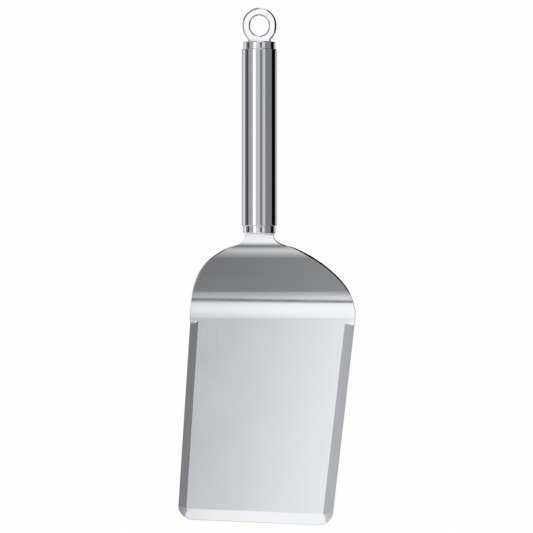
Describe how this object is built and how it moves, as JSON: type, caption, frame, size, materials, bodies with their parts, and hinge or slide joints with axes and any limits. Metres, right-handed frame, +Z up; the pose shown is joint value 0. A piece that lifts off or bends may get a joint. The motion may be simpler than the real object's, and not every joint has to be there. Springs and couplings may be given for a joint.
{
  "type": "griddle spatula",
  "caption": "All-steel griddle spatula: a wide slanted blade ground on three edges, a bent shoulder, a round tube handle and a hanging eye.",
  "frame": {"origin": "on the blade's underside, straight below the handle's axis and halfway between the front edge and the heel", "axes": "+Y runs from the blade's front edge towards the handle's eye, +Z is up out of the blade's upper face, +X is to the right seen from above with the handle up"},
  "size_m": [0.1013, 0.286, 0.0668],
  "materials": {
    "blade_steel": "polished stainless sheet with a faint lengthwise brush, ground bevels",
    "handle_steel": "mirror-polished stainless steel",
    "weld_bead": "as-welded, matt"
  },
  "bodies": {
    "root": {"blade": "blade_steel", "front_cap": "handle_steel", "handle_tube": "handle_steel", "rear_cap": "handle_steel", "hanging_eye": "handle_steel", "tang_weld": "weld_bead", "eye_weld": "weld_bead"}
  },
  "joints": []
}
